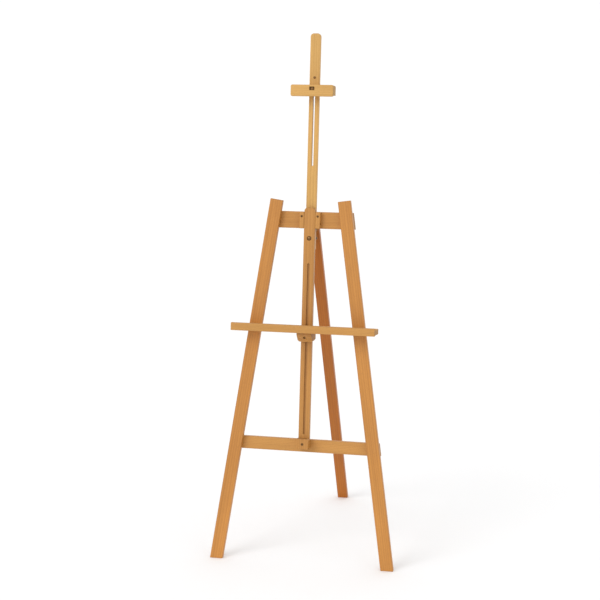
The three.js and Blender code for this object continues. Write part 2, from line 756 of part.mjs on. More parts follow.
function addTray() {
  add(front, 'tray_board', trayBoard(), 'paleBeech');
  add(front, 'tray_lip', trayLip(), 'paleBeech');
  add(front, 'tray_bracket', trayBracket(), 'beech');
  add(front, 'tray_keeper', trayKeeper(), 'beech');
  add(front, 'tray_key', trayKey(), 'paleBeech');
  add(front, 'tray_key_screw', screwOf(KEY_SCREW), 'steel', [0, keyScrewFace, keyAt]);
  addScrews(front, 'keeper_screw', KEEPER_SCREW, keeperPlaces(), keeperBack, true);
  trayScrewPlaces.forEach((x, i) => {
    const place = [x, trayScrewDepth, shelfTop];
    add(front, `tray_screw_${i + 1}`, screwOf(TRAY_SCREW), 'steel', place).rotation.x = -Math.PI / 2;
  });
  lipDowelPlaces.forEach((x, i) => {
    add(front, `lip_dowel_${i + 1}`, rod(LIP_DOWEL, ...lipDowelEnds), 'paleBeech', [x, 0, lipDowelRise]);
  });
  add(front, 'tray_clamping_screw', clampingScrew(), 'steel', [0, 0, keyAt]);
  const knobAt = [0, keeperBack + GAP, keyAt];
  const bore = studEnd - knobAt[1] + GAP;
  add(front, 'tray_knob', handKnob(KNOB_HUB.tray, STUD.radius + GAP, bore), 'plastic', knobAt);
}

addFrame();
addRearLeg();
addExtension();
addClamp();
addTray();

export default easel;
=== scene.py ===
"""Finished looks of a folding wooden artist's easel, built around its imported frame.

Lengths are metres. Most pieces are worked out in the leaning plane of the front frame, whose axes
come from the joint that the tray slides on: across, backwards and up the frame.
"""

import json
import math

import bmesh
import bpy
import numpy as np
from mathutils import Matrix, Vector
from mathutils.geometry import tessellate_polygon


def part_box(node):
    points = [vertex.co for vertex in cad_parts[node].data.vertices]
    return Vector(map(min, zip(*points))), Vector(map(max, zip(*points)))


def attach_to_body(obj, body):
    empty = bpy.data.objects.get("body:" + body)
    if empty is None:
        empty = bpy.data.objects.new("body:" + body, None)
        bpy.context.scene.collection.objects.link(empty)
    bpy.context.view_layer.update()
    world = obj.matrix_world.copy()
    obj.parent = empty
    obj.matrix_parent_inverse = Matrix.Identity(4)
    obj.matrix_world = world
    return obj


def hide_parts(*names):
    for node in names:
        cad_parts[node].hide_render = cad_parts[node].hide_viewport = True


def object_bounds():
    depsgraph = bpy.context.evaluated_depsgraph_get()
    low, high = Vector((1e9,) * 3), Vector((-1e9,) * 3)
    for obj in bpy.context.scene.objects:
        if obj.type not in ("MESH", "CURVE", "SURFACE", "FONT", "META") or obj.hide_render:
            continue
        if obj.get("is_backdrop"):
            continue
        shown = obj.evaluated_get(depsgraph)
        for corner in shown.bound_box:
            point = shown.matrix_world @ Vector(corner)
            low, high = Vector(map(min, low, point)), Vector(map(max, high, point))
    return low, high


bl_info = {
    "name": "Artist easel",
    "version": (1, 0, 0),
    "blender": (4, 5, 0),
    "location": "View3D > Sidebar > Easel",
    "description": "Builds the timber, fittings and finishes of a folding artist easel",
    "category": "Object",
}

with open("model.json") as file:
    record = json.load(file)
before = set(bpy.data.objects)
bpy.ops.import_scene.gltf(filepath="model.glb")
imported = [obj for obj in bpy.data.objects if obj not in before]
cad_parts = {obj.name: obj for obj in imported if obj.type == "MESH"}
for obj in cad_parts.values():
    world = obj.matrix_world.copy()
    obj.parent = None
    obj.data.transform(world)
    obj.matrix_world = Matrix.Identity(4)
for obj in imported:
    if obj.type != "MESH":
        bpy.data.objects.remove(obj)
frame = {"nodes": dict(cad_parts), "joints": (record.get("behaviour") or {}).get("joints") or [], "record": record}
CAD_BOX = [list(corner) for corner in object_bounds()]

MM = 0.001
QUARTER = math.pi / 2
SAME_CORNER = 0.2 * MM
# The rounding of the rear leg's sharp heel alone takes 1.06 mm off its box.
STRAY = 1.2 * MM
# Room round a piece that slides, how far a cut goes past a face, and the edge of a cutting block.
SLIP = 0.4 * MM
PAST = 5 * MM
SHARP = 0.01 * MM

JOINTS = {joint["name"]: joint for joint in frame["joints"]}
BODY = {
    node: body
    for body, nodes in frame["record"]["behaviour"]["bodies"].items()
    for node in nodes
}

ACROSS = np.array([1.0, 0.0, 0.0])
UP = np.array(JOINTS["tray_slide"]["axis"], float)
UP /= np.linalg.norm(UP)
BACK = np.array([0.0, UP[2], -UP[1]])
FRONT_VIEW = np.array([ACROSS, UP, BACK])
SIDE_VIEW = np.array([BACK, UP, ACROSS])


# ---- sizes and colours -------------------------------------------


def length(name, description, default):
    """A length property, kept in metres."""
    return bpy.props.FloatProperty(
        name=name, description=description, default=default, min=0, unit="LENGTH", precision=5
    )


def colour(name, description, default):
    """A linear colour property."""
    return bpy.props.FloatVectorProperty(
        name=name, description=description, default=default, size=3, min=0, max=1, subtype="COLOR"
    )


def factor(name, description, default):
    """A share between nought and one."""
    return bpy.props.FloatProperty(
        name=name, description=description, default=default, min=0, max=1, subtype="FACTOR"
    )


def angle(name, description, degrees):
    """An angle property, given in degrees and kept in radians."""
    return bpy.props.FloatProperty(
        name=name, description=description, default=math.radians(degrees), subtype="ANGLE"
    )


class EaselTimber(bpy.types.PropertyGroup):
    """Sizes of the worked edges of the timber, and its colours."""

    edge: length("Edge radius", "Rounding of the long edges of the timber", 1.8 * MM)
    crown: length("Crown radius", "Rounding of the top corners of both masts", 12 * MM)
    groove_depth: length("Groove depth", "Depth of the groove in the lower mast", 6 * MM)
    trough_radius: length("Trough radius", "Radius of the brush trough in the tray", 6 * MM)
    trough_place: length("Trough place", "From the front of the shelf to the trough", 18 * MM)
    lip_radius: length("Lip radius", "Rounding of the top of the tray's lip", 3 * MM)
    corner: length("Clamp corner", "Rounding of the corners of the top clamp", 6 * MM)
    light: colour("Light wood", "Early wood between the rings", (0.545, 0.255, 0.055))
    dark: colour("Dark wood", "Late wood along the rings", (0.35, 0.138, 0.019))
    fleck: colour("Fleck", "Small rays in the face of the wood", (0.25, 0.09, 0.016))
    grain: factor("Grain strength", "How strongly the rings and streaks show", 0.55)
    worn: factor("Edge wear", "How far handling has darkened the edges", 0.28)


class EaselFittings(bpy.types.PropertyGroup):
    """Sizes and colours of screws, bolts, hinge and knobs."""

    hub: length("Hub radius", "Radius of a knob's hub", 9 * MM)
    grip: length("Grip radius", "Mean radius of a knob's lobed grip", 17 * MM)
    lobe: length("Lobe height", "How far each lobe of a knob stands out", 2.6 * MM)
    lobes: bpy.props.IntProperty(
        name="Lobes", description="Number of lobes on a knob", default=5, min=3, max=9
    )
    grip_thick: length("Grip thickness", "Thickness of a knob's grip", 12 * MM)
    # The steel's dark brown is partly painted shade: it darkens the fittings like the shade of the slot end and
    # recess they sit in.
    steel: colour("Steel", "Bronzed steel", (0.25, 0.135, 0.055))
    brass: colour("Brass", "Brass plated hinge", (0.62, 0.41, 0.17))
    plastic: colour("Plastic", "Moulded knobs", (0.018, 0.018, 0.02))


class EaselStage(bpy.types.PropertyGroup):
    """Camera, lights and floor."""

    azimuth: angle("Azimuth", "Camera's place round the easel, from straight in front", 12.6)
    elevation: angle("Elevation", "Camera's height above level", 11.0)
    distance: length("Distance", "From the camera to the point that it looks at", 6.034)
    aim_side: bpy.props.FloatProperty(
        name="Aim sideways", description="Aim point across", default=-0.093, unit="LENGTH"
    )
    aim_height: length("Aim height", "Height of the aim point", 0.901)
    lens: bpy.props.FloatProperty(
        name="Lens",
        description="Focal length in mm",
        default=95.3,
        min=10,
        subtype="DISTANCE_CAMERA",
    )
    floor: colour("Floor", "Plain pale floor", (0.88, 0.88, 0.882))


def timber():
    """The timber's settings."""
    return bpy.context.scene.easel_timber


def fittings():
    """The fittings' settings."""
    return bpy.context.scene.easel_fittings


# ---- reading the frame -------------------------------------------


def points_of(node):
    """A CAD node's corners, each one once, as an array."""
    mesh = frame["nodes"][node].data
    flat = np.empty(len(mesh.vertices) * 3, np.float32)
    mesh.vertices.foreach_get("co", flat)
    return np.unique(np.round(flat.reshape(-1, 3).astype(float), 6), axis=0)


def extents(node, axes=FRONT_VIEW):
    """Lowest and highest of a node's corners along each of three axes."""
    seen = points_of(node) @ axes.T
    return seen.min(0), seen.max(0)


def stick_turn(flat, low, high):
    """The angle of a stick's length from the second axis: the one across which it is thinnest."""
    turns = np.linspace(low, high, 20001)
    across = np.stack([np.cos(turns), -np.sin(turns)])
    return turns[np.ptp(flat @ across, axis=0).argmin()]


def hull(flat):
    """Corners of the convex outline round flat points, anticlockwise, where it turns over 1 degree.

    Points closer together than SAME_CORNER count as one corner.
    """
    ordered = flat[np.lexsort((flat[:, 1], flat[:, 0]))]

    def chain(points):
        kept = []
        for p in points:
            while len(kept) > 1 and np.linalg.det([kept[-1] - kept[-2], p - kept[-2]]) <= 1e-12:
                kept.pop()
            kept.append(p)
        return kept[:-1]

    ring = np.array(chain(ordered) + chain(ordered[::-1]))
    ring = ring[np.linalg.norm(ring - np.roll(ring, 1, 0), axis=1) > SAME_CORNER]
    before, after = ring - np.roll(ring, 1, 0), np.roll(ring, -1, 0) - ring
    cross = before[:, 0] * after[:, 1] - before[:, 1] * after[:, 0]
    sine = cross / np.linalg.norm(before, axis=1) / np.linalg.norm(after, axis=1)
    return ring[sine > math.sin(math.radians(1))]


# ---- surfaces ----------------------------------------------------


def rounded(corners, radii, steps=6):
    """An outline with its corners rounded, and how far round a corner each point is.

    At each corner an arc touches both sides: its centre lies on the corner's bisector, one radius
    from each side, and its points are spread by equal angles from one touching point to the other.
    """
    corners = np.asarray(corners, float)
    radii = np.broadcast_to(np.asarray(radii, float), len(corners))[:, None]
    before, after = np.roll(corners, 1, 0) - corners, np.roll(corners, -1, 0) - corners
    before /= np.linalg.norm(before, axis=1)[:, None]
    after /= np.linalg.norm(after, axis=1)[:, None]
    half = np.arccos((before * after).sum(1))[:, None] / 2
    middle = before + after
    centre = corners + middle / np.linalg.norm(middle, axis=1)[:, None] * radii / np.sin(half)
    start = corners + before * radii / np.tan(half) - centre
    end = corners + after * radii / np.tan(half) - centre
    sweep = (math.pi - 2 * half)[:, :, None]
    share = np.linspace(0, 1, steps + 1)[None, :, None]
    arc = np.sin((1 - share) * sweep) * start[:, None] + np.sin(share * sweep) * end[:, None]
    points = centre[:, None] + arc / np.sin(sweep)
    bend = np.tile(np.sin(math.pi * share[0, :, 0]), len(corners))
    return points.reshape(-1, 2), bend


def panel(low, high, lower, upper):
    """A rectangle, anticlockwise, with one radius at its lower corners and another at its upper."""
    corners = [(low[0], low[1]), (high[0], low[1]), (high[0], high[1]), (low[0], high[1])]
    return rounded(corners, [lower, lower, upper, upper])


def outward(outline):
    """At each point, the way that moves both of its sides outwards by one."""
    side = np.roll(outline, -1, 0) - outline
    side /= np.linalg.norm(side, axis=1)[:, None]
    normal = np.stack([side[:, 1], -side[:, 0]], 1)
    other = np.roll(normal, 1, 0)
    return (normal + other) / (1 + (normal * other).sum(1))[:, None]


def grid_faces(rows, columns, wrap_rows=False):
    """Quads of a grid whose columns close on themselves, and whose rows may."""
    row = np.arange(rows if wrap_rows else rows - 1)[:, None] * columns
    after = (row + columns) % (rows * columns)
    column = np.arange(columns)[None, :]
    beside = (column + 1) % columns
    quads = np.stack([row + column, row + beside, after + beside, after + column], -1)
    return quads.reshape(-1, 4).tolist()


def cap(ring, start, facing_up):
    """Triangles that fill a ring of flat points, numbered from start."""
    triangles = tessellate_polygon([[Vector((x, y, 0)) for x, y in ring]])
    faces = []
    for a, b, c in triangles:
        p, q = ring[b] - ring[a], ring[c] - ring[a]
        turned_up = p[0] * q[1] - p[1] * q[0] > 0
        kept = (a, b, c) if turned_up == facing_up else (a, c, b)
        faces.append([start + i for i in kept])
    return faces


def board(shape, low, high, axes, edge=None, steps=4):
    """A flat outline given thickness, with its edges rounded.

    The outline is carried from depth low to depth high. Over the first and last edge radius it
    draws in by edge * (1 - sin t) while its depth goes by edge * (1 - cos t), t from 0 to 90
    degrees, and the two flat faces are filled. Returns points, faces and how worn each point is.
    """
    outline, bend = shape
    edge = timber().edge if edge is None else edge
    turn = np.linspace(0, QUARTER, steps + 1)
    inset, rise = edge * (1 - np.sin(turn)), edge * (1 - np.cos(turn))
    insets = np.concatenate([inset, inset[::-1]])
    depths = np.concatenate([low + rise, high - rise[::-1]])
    rings = outline[None] - insets[:, None, None] * outward(outline)[None]
    layers = np.broadcast_to(depths[:, None, None], (*rings.shape[:2], 1))
    points = np.concatenate([rings, layers], -1).reshape(-1, 3)
    faces = grid_faces(len(depths), len(outline))
    faces += cap(rings[0], 0, False)
    faces += cap(rings[-1], (len(depths) - 1) * len(outline), True)
    curve = np.concatenate([np.sin(2 * turn), np.sin(2 * turn)[::-1]])
    on_wall = np.concatenate([np.sin(turn), np.sin(turn)[::-1]])
    wear = np.maximum(curve[:, None], on_wall[:, None] * bend[None]).ravel()
    if np.linalg.det(axes) < 0:
        faces = [face[::-1] for face in faces]
    return points @ axes, faces, wear


def turned(profile, start, axis, shape=None, count=48, closed=False, phase=0.0):
    """A profile of radius and height carried round an axis.

    A point at angle a stands radius * shape(a, row) from the axis. Where the profile starts or ends
    on the axis there is one point there; a closed profile comes back to its own start.
    """
    profile = np.asarray(profile, float)
    axis = np.asarray(axis, float) / np.linalg.norm(axis)
    side = ACROSS if abs(axis[0]) < 0.9 else UP
    u = side - axis * (side @ axis)
    u /= np.linalg.norm(u)
    v = np.cross(axis, u)
    around = np.linspace(0, 2 * math.pi, count, endpoint=False) + phase
    spoke = np.cos(around)[:, None] * u + np.sin(around)[:, None] * v
    open_rows = profile[:, 0] > 1e-9
    rows = profile[open_rows]
    reach = rows[:, :1] * np.ones(count)
    if shape is not None:
        reach = reach * shape(around[None, :], np.flatnonzero(open_rows)[:, None])
    points = reach[:, :, None] * spoke + rows[:, 1][:, None, None] * axis
    points = points.reshape(-1, 3)
    faces = grid_faces(len(rows), count, closed)
    ends = [] if closed else [(0, 0, 1), (len(profile) - 1, (len(rows) - 1) * count, -1)]
    for row, first, way in ends:
        ring = [first + i for i in range(count)]
        if open_rows[row]:
            faces.append(ring[::-way])
            continue
        pole = len(points)
        points = np.vstack([points, profile[row, 1] * axis])
        faces += [[pole, *pair[::way]] for pair in zip(ring[1:] + ring[:1], ring)]
    return points + start, faces, np.zeros(len(points))


def solid(name, surface):
    """A mesh object at the origin from points, faces and wear."""
    points, faces, wear = surface
    mesh = bpy.data.meshes.new(name)
    mesh.from_pydata(points.tolist(), [], faces)
    mesh.attributes.new("wear", "FLOAT", "POINT").data.foreach_set("value", wear.astype(np.float32))
    mesh.validate()
    made = bpy.data.objects.new(name, mesh)
    bpy.context.scene.collection.objects.link(made)
    return made


def cut(piece, *surfaces):
    """Takes each surface's solid out of a piece."""
    tools = [solid(f"tool_{i}", surface) for i, surface in enumerate(surfaces)]
    for tool in tools:
        modifier = piece.modifiers.new("cut", "BOOLEAN")
        modifier.operation = "DIFFERENCE"
        modifier.solver = "EXACT"
        modifier.object = tool
    evaluated = piece.evaluated_get(bpy.context.evaluated_depsgraph_get())
    mesh = bpy.data.meshes.new_from_object(evaluated)
    if len(mesh.polygons) <= 6:
        raise RuntimeError(f"{piece.name} could not be cut")
    piece.modifiers.clear()
    piece.data = mesh
    for tool in tools:
        bpy.data.objects.remove(tool)
    return piece


def box_tool(low, high, axes=FRONT_VIEW):
    """A plain sharp block between two corners, to cut with."""
    corners = [(low[0], low[1]), (high[0], low[1]), (high[0], high[1]), (low[0], high[1])]
    return board(rounded(corners, SHARP, 1), low[2], high[2], axes, SHARP, 1)


def bore(start, axis, radius, depth, above=2 * MM):
    """A round hole to cut, from a little above its mouth down to its depth."""
    profile = [(0, -above), (radius, -above), (radius, depth), (0, depth)]
    return turned(profile, start, axis, count=36)


def attach(piece, surface):
    """Adds a surface to a finished piece's mesh."""
    extra = solid("extra", surface)
    both = bmesh.new()
    both.from_mesh(piece.data)
    both.from_mesh(extra.data)
    both.to_mesh(piece.data)
    both.free()
    bpy.data.objects.remove(extra)


def inspect(piece, node):
    """Raises if a piece is open, is inside out, or doesn't fill its node's box."""
    shell = bmesh.new()
    shell.from_mesh(piece.data)
    closed = all(len(edge.link_faces) == 2 for edge in shell.edges)
    volume = shell.calc_volume(signed=True)
    seen = np.array([vertex.co[:] for vertex in shell.verts])
    shell.free()
    if not closed:
        raise RuntimeError(f"{piece.name} isn't closed")
    if volume <= 0:
        raise RuntimeError(f"{piece.name} is inside out")
    low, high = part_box(node)
    stray = max(abs(seen.min(0) - low).max(), abs(seen.max(0) - high).max())
    if stray > STRAY:
        raise RuntimeError(f"{piece.name} is {stray / MM:.1f} mm off its node's box")


def place(piece, node, material, sharp=35):
    """Gives a finished piece its shading and material, and lets it stand for a CAD node."""
    inspect(piece, node)
    mesh = piece.data
    mesh.materials.clear()
    mesh.materials.append(material)
    mesh.polygons.foreach_set("use_smooth", np.ones(len(mesh.polygons), bool))
    mesh.polygons.foreach_set("material_index", np.zeros(len(mesh.polygons), np.int32))
    mesh.set_sharp_from_angle(angle=math.radians(sharp))
    mesh.update()
    shading = piece.modifiers.new("shading", "WEIGHTED_NORMAL")
    shading.weight = 100
    shading.keep_sharp = True
    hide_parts(node)
    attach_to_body(piece, BODY[node])
    return piece


# ---- finishes ----------------------------------------------------


class Nodes:
    """Short calls for building a material's nodes."""

    def __init__(self, name):
        self.material = bpy.data.materials.get(name) or bpy.data.materials.new(name)
        self.material.use_nodes = True
        self.tree = self.material.node_tree
        self.tree.nodes.clear()

    def add(self, kind, inputs=(), **settings):
        """One node with its settings, and its inputs as values or other nodes' outputs."""
        node = self.tree.nodes.new(f"ShaderNode{kind}")
        for key, value in settings.items():
            setattr(node, key, value)
        for key, value in dict(inputs).items():
            if isinstance(value, bpy.types.NodeSocket):
                self.tree.links.new(value, node.inputs[key])
            else:
                node.inputs[key].default_value = value
        return node

    def sum(self, operation, a, b=0.0, c=0.0, clamp=False):
        """A Math node's output."""
        inputs = {0: a, 1: b, 2: c}
        return self.add("Math", inputs, operation=operation, use_clamp=clamp).outputs[0]

    def noise(self, vector, scale, detail=3.0, roughness=0.55, distortion=0.0):
        """A noise texture's value."""
        inputs = {"Vector": vector, "Scale": scale, "Detail": detail}
        inputs.update({"Roughness": roughness, "Distortion": distortion})
        return self.add("TexNoise", inputs).outputs["Fac"]

    def stretch(self, vector, scale):
        """A vector scaled along each of its axes."""
        return self.add("Mapping", {"Vector": vector, "Scale": scale}).outputs[0]

    def ramp(self, value, low, high):
        """Nought below low, one above high."""
        inputs = {"Value": value, "From Min": low, "From Max": high}
        return self.add("MapRange", inputs, interpolation_type="SMOOTHSTEP").outputs[0]

    def mix(self, share, a, b, blend="MIX"):
        """A mix of two colours."""
        node = self.add("Mix", data_type="RGBA", blend_type=blend)
        for socket, value in ((node.inputs[0], share), (node.inputs[6], a), (node.inputs[7], b)):
            if isinstance(value, bpy.types.NodeSocket):
                self.tree.links.new(value, socket)
            elif isinstance(value, (int, float)):
                socket.default_value = value
            else:
                socket.default_value = (*value, 1)
        return node.outputs[2]

    def finish(self, inputs, height, strength, distance):
        """The surface shader with a bump of the given height map."""
        bump = self.add("Bump", {"Height": height, "Strength": strength, "Distance": distance})
        shader = self.add("BsdfPrincipled", {**inputs, "Normal": bump.outputs[0]})
        self.add("OutputMaterial", {"Surface": shader.outputs[0]})
        return self.material


# How far red, green and blue go up as wood gets warmer, and how far the pith lies beside a piece.
WARMING = (0.3, -0.2, -1)
PITH_AWAY = (0.07, 0.045)


def toned(base, tone, warmth):
    """A base colour made lighter by a tone and redder by a warmth."""
    return tuple(min(1.0, c * tone * (1 + warmth * w)) for c, w in zip(base, WARMING))


def wood(name, run, centre, tone=1.0, warmth=0.0, seed=0.0):
    """Oiled beech whose grain runs along one way of a piece.

    In the piece's own axes, rings are bands of distance from a pith beside the piece, streaks and
    fibres are noise drawn out along the grain, and flecks are the peaks of a finer noise. Faces
    square to the grain show end grain, and edges darken by the piece's own wear attribute.
    """
    settings = timber()
    along = Vector(run).normalized()
    side = along.orthogonal().normalized()
    turn = Matrix([side, along.cross(side), along]).transposed().to_euler()
    nodes = Nodes(name)
    coordinates = nodes.add("TexCoord")
    placed = nodes.add(
        "Mapping",
        {"Vector": coordinates.outputs["Object"], "Location": centre, "Rotation": turn},
        vector_type="TEXTURE",
    ).outputs[0]
    log = (PITH_AWAY[0] + seed, PITH_AWAY[1], seed * 7)
    shifted = nodes.add("Mapping", {"Vector": placed, "Location": log}).outputs[0]
    drawn = nodes.stretch(shifted, (1, 1, 0.035))
    rings = nodes.add(
        "TexWave",
        {"Vector": drawn, "Scale": 62.0, "Distortion": 5.5, "Detail": 3.0, "Detail Scale": 0.55,
         "Detail Roughness": 0.55},
        wave_type="RINGS",
        rings_direction="Z",
        wave_profile="SAW",
    ).outputs["Fac"]
    streak = nodes.noise(drawn, 95.0, 4.0, 0.6, 0.4)
    fibre = nodes.noise(nodes.stretch(shifted, (1, 1, 0.02)), 1300.0, 3.0, 0.65)
    cloud = nodes.noise(nodes.stretch(shifted, (1, 1, 0.3)), 9.0, 3.0, 0.5)
    grains = nodes.noise(nodes.stretch(shifted, (1, 1, 0.16)), 1050.0, 1.0, 0.4)
    fleck = nodes.ramp(grains, 0.60, 0.70)

    figure = nodes.sum("MULTIPLY_ADD", rings, 0.34, nodes.sum("MULTIPLY", streak, 0.62))
    figure = nodes.sum("MULTIPLY_ADD", fibre, 0.42, figure)
    figure = nodes.ramp(figure, 0.42, 0.98)
    strength = nodes.sum("MULTIPLY", figure, settings.grain)
    light, dark = (toned(base, tone, warmth) for base in (settings.light, settings.dark))
    shade = nodes.mix(strength, light, dark)
    shade = nodes.mix(nodes.sum("MULTIPLY", fleck, 0.34), shade, settings.fleck)
    patch = nodes.sum("MULTIPLY_ADD", cloud, 0.42, 0.79)
    patches = nodes.add("CombineColor", {0: patch, 1: patch, 2: patch}).outputs[0]
    shade = nodes.mix(1.0, shade, patches, "MULTIPLY")

    facing = nodes.add(
        "VectorMath", {0: coordinates.outputs["Normal"], 1: along}, operation="DOT_PRODUCT"
    ).outputs["Value"]
    end_grain = nodes.ramp(nodes.sum("ABSOLUTE", facing), 0.72, 0.9)
    pores = nodes.ramp(nodes.noise(shifted, 2600.0, 1.0, 0.4), 0.5, 0.66)
    end_shade = nodes.mix(nodes.sum("MULTIPLY_ADD", pores, 0.35, nodes.sum("MULTIPLY", rings, 0.3)),
                          tuple(c * 0.72 for c in light), tuple(c * 0.5 for c in dark))
    shade = nodes.mix(end_grain, shade, end_shade)

    wear = nodes.add("Attribute", attribute_name="wear").outputs["Fac"]
    rubbed = nodes.noise(shifted, 60.0, 4.0, 0.6)
    worn = nodes.sum("MULTIPLY", wear, nodes.ramp(rubbed, 0.3, 0.65))
    worn = nodes.sum("MULTIPLY", worn, settings.worn)
    shade = nodes.mix(worn, shade, tuple(c * 0.62 for c in dark))

    rough = nodes.sum("MULTIPLY_ADD", fibre, 0.16, 0.40)
    rough = nodes.sum("MULTIPLY_ADD", end_grain, 0.22, rough)
    rough = nodes.sum("MULTIPLY_ADD", worn, -0.35, rough, clamp=True)
    height = nodes.sum("MULTIPLY_ADD", fleck, -0.5, nodes.sum("MULTIPLY", fibre, 0.8))
    height = nodes.sum("MULTIPLY_ADD", streak, 0.6, height)
    shader = {"Base Color": shade, "Roughness": rough, "IOR": 1.46}
    shader.update({"Coat Weight": 0.08, "Coat Roughness": 0.32})
    return nodes.finish(shader, height, 0.35, 0.16 * MM)


def plated(name, base, low, high):
    """Plated metal: cloudy tarnish in its colour and roughness, and fine drawn scratches."""
    nodes = Nodes(name)
    position = nodes.add("TexCoord").outputs["Object"]
    tarnish = nodes.noise(position, 420.0, 4.0, 0.6, 0.5)
    scratch = nodes.noise(nodes.stretch(position, (1, 0.12, 1)), 5200.0, 2.0, 0.5)
    shade = nodes.mix(nodes.ramp(tarnish, 0.35, 0.75), base, tuple(c * 0.55 for c in base))
    rough = nodes.sum("MULTIPLY_ADD", tarnish, high - low, low)
    rough = nodes.sum("MULTIPLY_ADD", scratch, 0.1, rough, clamp=True)
    shader = {"Base Color": shade, "Roughness": rough, "Metallic": 1.0}
    return nodes.finish(shader, scratch, 0.25, 0.03 * MM)


def moulded(name):
    """Black moulded plastic with a fine spark-eroded texture and a little dust in it."""
    nodes = Nodes(name)
    position = nodes.add("TexCoord").outputs["Object"]
    texture = nodes.noise(position, 3800.0, 2.0, 0.5)
    dust = nodes.ramp(nodes.noise(position, 260.0, 4.0, 0.65), 0.52, 0.8)
    base = tuple(fittings().plastic)
    shade = nodes.mix(nodes.sum("MULTIPLY", dust, 0.4), base, tuple(c * 3.2 + 0.01 for c in base))
    rough = nodes.sum("MULTIPLY_ADD", dust, 0.2, nodes.sum("MULTIPLY_ADD", texture, 0.12, 0.36))
    return nodes.finish({"Base Color": shade, "Roughness": rough}, texture, 0.3, 0.05 * MM)


def steel():
    """The dark finish of screws, bolts and washers; its dark brown is partly painted shade, for the slot end and
    recess they sit in.
    """
    return plated("bronzed_steel", tuple(fittings().steel), 0.3, 0.5)


def brass():
    """The brass plating of the hinge."""
    return plated("brass_plating", tuple(fittings().brass), 0.24, 0.42)


def fit(node, stuff, surface, material):
    """Makes a surface the finished piece of a node, named after what it is made of."""
    return place(solid(f"{node}_{stuff}", surface), node, material)


def middle(node):
    """The middle of a node's box."""
    low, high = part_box(node)
    return (low + high) / 2


TONES = {
    "front_leg_left": (0.92, 0.20, 0.11),
    "front_leg_right": (0.93, 0.16, 0.27),
    # The rear leg's low tone and high warmth are partly painted shade, for the shadow it stands in behind the
    # front frame.
    "rear_leg": (0.64, 0.90, 0.41),
    "cross_brace": (1.0, -0.05, 0.19),
    "head_rail": (0.95, 0.04, 0.33),
    "lower_mast": (0.9, 0.03, 0.05),
    "mast_foot_block": (0.9, 0.05, 0.23),
    "mast_cheek_left": (0.97, 0.0, 0.31),
    "mast_cheek_right": (0.94, 0.0, 0.37),
    "mast_cross_dowel": (0.88, 0.05, 0.43),
    "mast_extension": (1.3, -0.40, 0.13),
    "clamp_block": (1.27, -0.38, 0.29),
    "tray_board": (1.06, -0.12, 0.17),
    "tray_lip": (1.06, -0.12, 0.07),
    "tray_bracket": (0.9, 0.05, 0.47),
    "tray_keeper": (0.9, 0.05, 0.53),
    "tray_key": (0.95, 0.0, 0.59),
}


def wood_of(node, run, like=None):
    """A node's cut of beech: its tone, warmth and place in the log. The rear leg's low tone and high warmth are
    partly painted shade.
    """
    tone, warmth, seed = TONES[like or node]
    return wood(f"beech_{node}", run, middle(node), tone, warmth, seed)


# ---- holes that the screws sit in --------------------------------


def spindle(node):
    """Head centre, way into the wood, head radius and length of a turned fastener."""
    points = points_of(node)
    centre = points.mean(0)
    axis = np.linalg.svd(points - centre)[2][0]
    along = (points - centre) @ axis
    radius = np.linalg.norm(points - centre - along[:, None] * axis, axis=1)
    if along[radius.argmax()] > 0:
        axis, along = -axis, -along
    return centre + along.min() * axis, axis, radius.max(), np.ptp(along)


def rear_facing(node):
    """Head centre, half width and length of a fastener that points straight back."""
    low, high = extents(node)
    start = np.array([(low[0] + high[0]) / 2, (low[1] + high[1]) / 2, low[2]]) @ FRONT_VIEW
    return start, (high[0] - low[0]) / 2, high[2] - low[2]


def screw_holes(*names):
    """Shallow bores round the heads of the named screws, a little wider than each head."""
    found = []
    for node in names:
        start, axis, head, _ = spindle(node)
        found.append(bore(start, axis, head + 0.25 * MM, 3 * MM))
    return found


def numbered(name, count):
    """Names with _1, _2 and so on."""
    return [f"{name}_{i + 1}" for i in range(count)]


# ---- front frame -------------------------------------------------


def leg_surface(node):
    """A straight leg: a rectangle in its own axes, square at the top, its sole lying on the floor.

    Near the sole each point slides along the leg until its height above the floor is what its
    height above the rectangle's lower edge was.
    """
    flat = points_of(node) @ FRONT_VIEW[:2].T
    turn = stick_turn(flat, -0.4, 0.4)
    across = math.cos(turn) * ACROSS - math.sin(turn) * UP
    along = math.sin(turn) * ACROSS + math.cos(turn) * UP
    axes = np.array([across, along, BACK])
    low, high = extents(node, axes)
    edge = timber().edge
    points, faces, wear = board(panel(low, high, edge, edge), low[2], high[2], axes)
    seen = points @ axes.T
    sole = seen[:, 1] < low[1] + 2 * edge
    above = seen[:, 1] - low[1]
    slide = (above * along[2] - points[:, 2]) / along[2]
    points = points + np.where(sole, slide, 0)[:, None] * along
    return points, faces, wear, along


def build_leg(node):
    """One front leg."""
    points, faces, wear, along = leg_surface(node)
    fit(node, "timber", (points, faces, wear), wood_of(node, along))


class EASEL_OT_front_legs(bpy.types.Operator):
    """Builds the two splayed front legs"""

    bl_idname = "easel.front_legs"
    bl_label = "Front legs"

    def execute(self, context):
        for side in ("left", "right"):
            build_leg(f"front_leg_{side}")
        return {"FINISHED"}


def plank(node):
    """A plank across the legs: the outline seen from the front, its ends sawn along the legs."""
    low, high = extents(node)
    corners = hull(points_of(node) @ FRONT_VIEW[:2].T)
    return board(rounded(corners, timber().edge), low[2], high[2], FRONT_VIEW)


